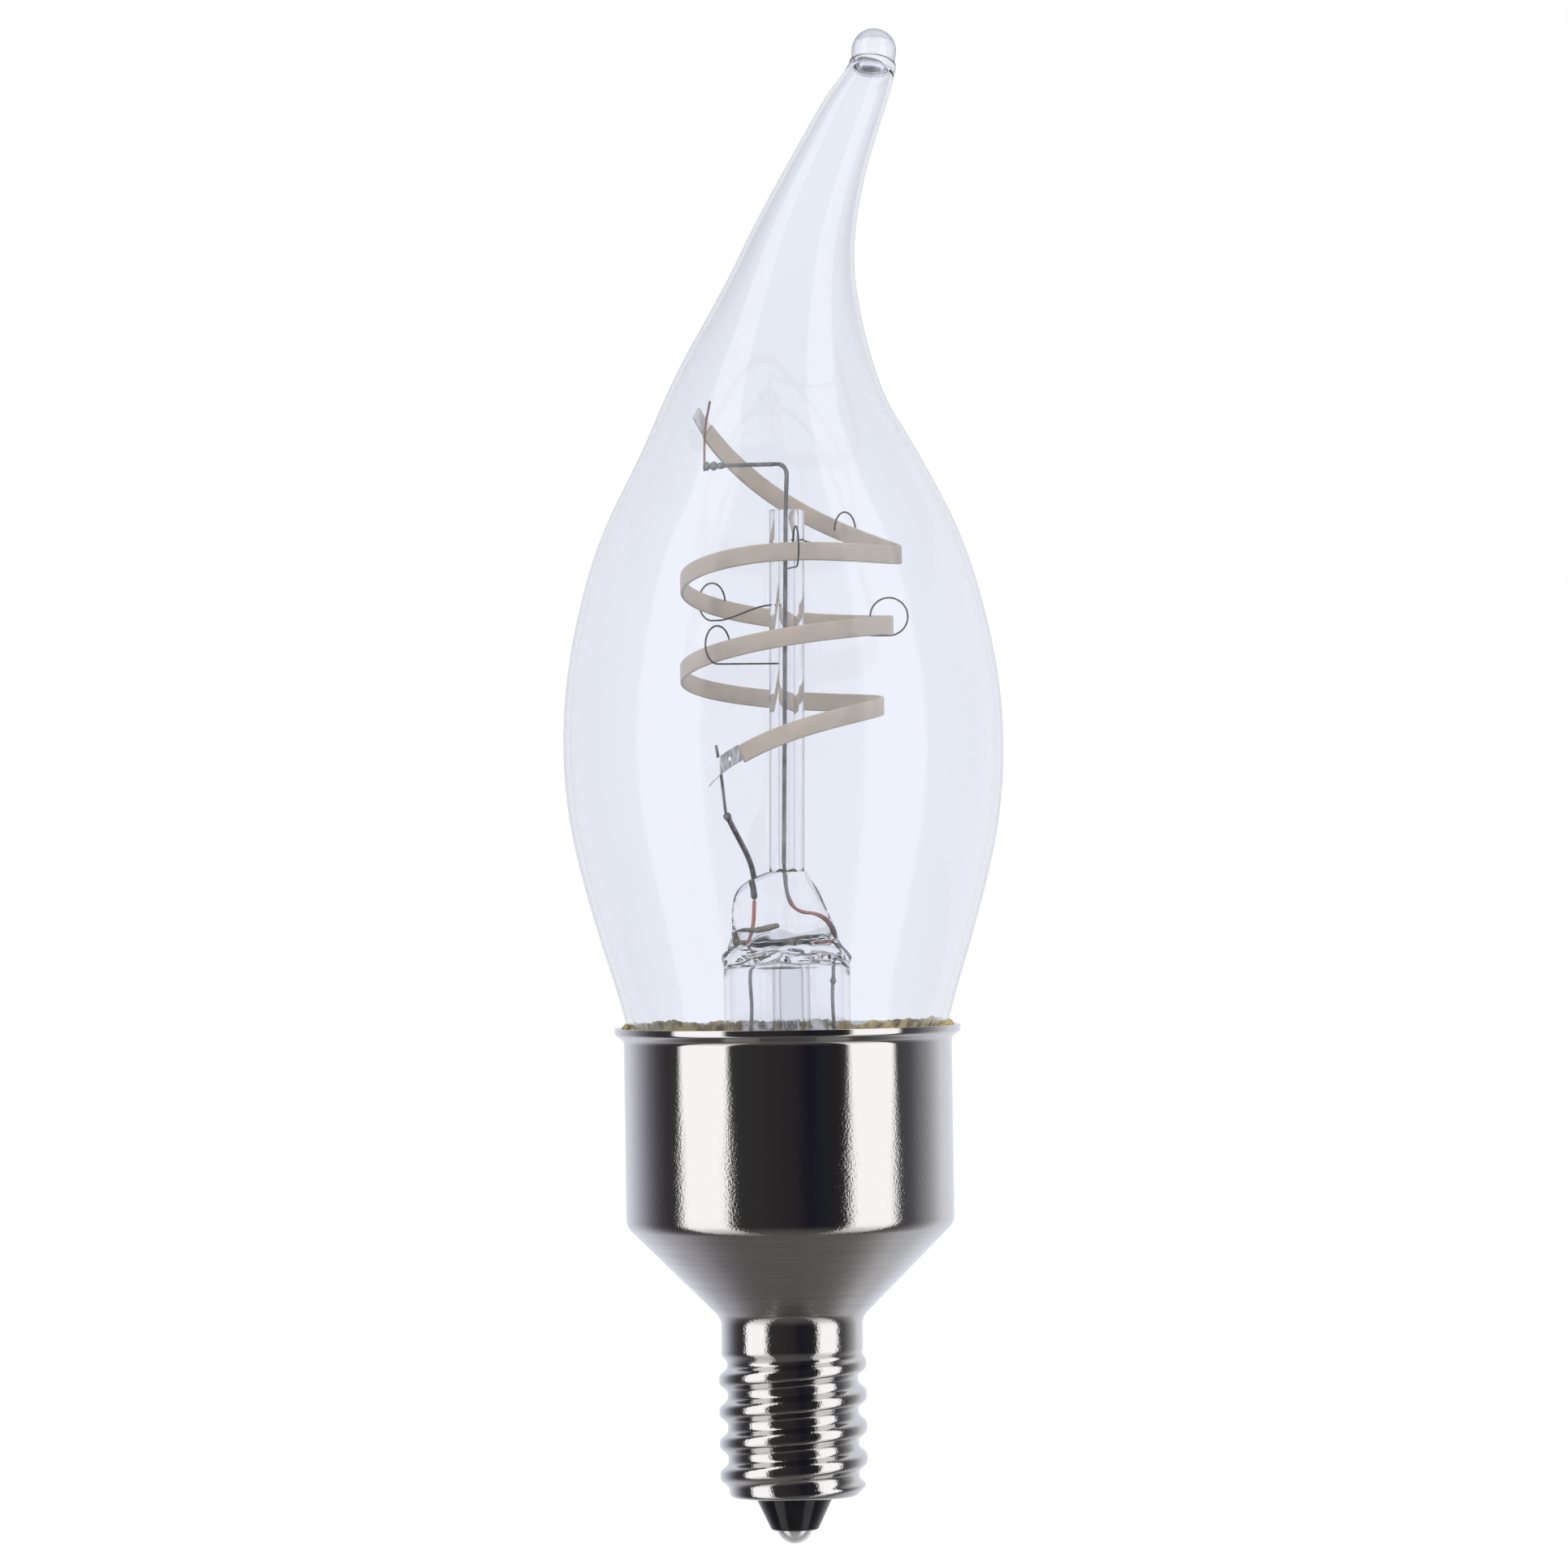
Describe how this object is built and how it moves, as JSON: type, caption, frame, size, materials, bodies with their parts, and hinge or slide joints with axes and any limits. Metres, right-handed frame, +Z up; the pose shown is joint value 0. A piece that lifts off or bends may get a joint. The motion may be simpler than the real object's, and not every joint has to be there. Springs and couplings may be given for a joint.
{
  "type": "candle bulb",
  "caption": "Clear flame-tip candle bulb: bent-tip glass envelope, spiral LED filament strip on a glass stem, nickel E12 screw base with black insulator and centre contact",
  "frame": {"origin": "lowest point of the centre contact, on the axis of the screw base", "axes": "+Z up the axis of the bulb from the contact to the tip, +X towards the side the tip bends to (right in the picture), +Y away from the camera"},
  "size_m": [0.035, 0.035, 0.1207],
  "materials": {
    "envelope_glass": "clear blown glass",
    "stem_glass": "clear tube glass",
    "filament_silicone": "matt beige phosphor coat",
    "terminal_foil": "thin bright plated strip",
    "lead_nickel": "drawn nickel wire",
    "pin_copper": "coppery plated wire",
    "seal_copper": "red oxidised copper-clad wire",
    "hook_wire": "dark drawn wire",
    "basing_cement": "cured tan cement, rough",
    "shell_nickel": "bright nickel plate",
    "insulator_black": "glossy black moulding",
    "contact_nickel": "bright nickel plate",
    "board_laminate": "green solder mask",
    "capacitor_sleeve": "dark shrink sleeve",
    "chip_black": "black moulded package",
    "resistor_body": "glazed body",
    "film_box": "moulded box",
    "sleeve_white": "white insulating sleeve",
    "wire_tinned": "tinned wire with solder"
  },
  "bodies": {
    "root": {"glass_envelope": "envelope_glass", "stem_flare": "stem_glass", "exhaust_tube": "stem_glass", "support_post": "stem_glass", "led_filament": "filament_silicone", "filament_terminal_upper": "terminal_foil", "filament_terminal_lower": "terminal_foil", "lead_wire_upper": "lead_nickel", "lead_wire_lower": "lead_nickel", "lead_pin_upper": "pin_copper", "lead_pin_lower": "lead_nickel", "seal_wire_upper": "seal_copper", "seal_wire_lower": "seal_copper", "outer_lead_upper": "lead_nickel", "outer_lead_lower": "lead_nickel", "support_wire_1": "hook_wire", "support_wire_2": "hook_wire", "support_wire_3": "hook_wire", "support_wire_4": "hook_wire", "support_wire_5": "hook_wire", "basing_cement": "basing_cement", "screw_shell": "shell_nickel", "base_insulator": "insulator_black", "centre_contact": "contact_nickel", "driver_board": "board_laminate", "smoothing_capacitor": "capacitor_sleeve", "bridge_rectifier": "chip_black", "driver_chip": "chip_black", "fuse_resistor": "resistor_body", "film_capacitor": "film_box", "insulating_sleeve": "sleeve_white", "contact_wire": "wire_tinned", "shell_wire": "wire_tinned"}
  },
  "joints": []
}
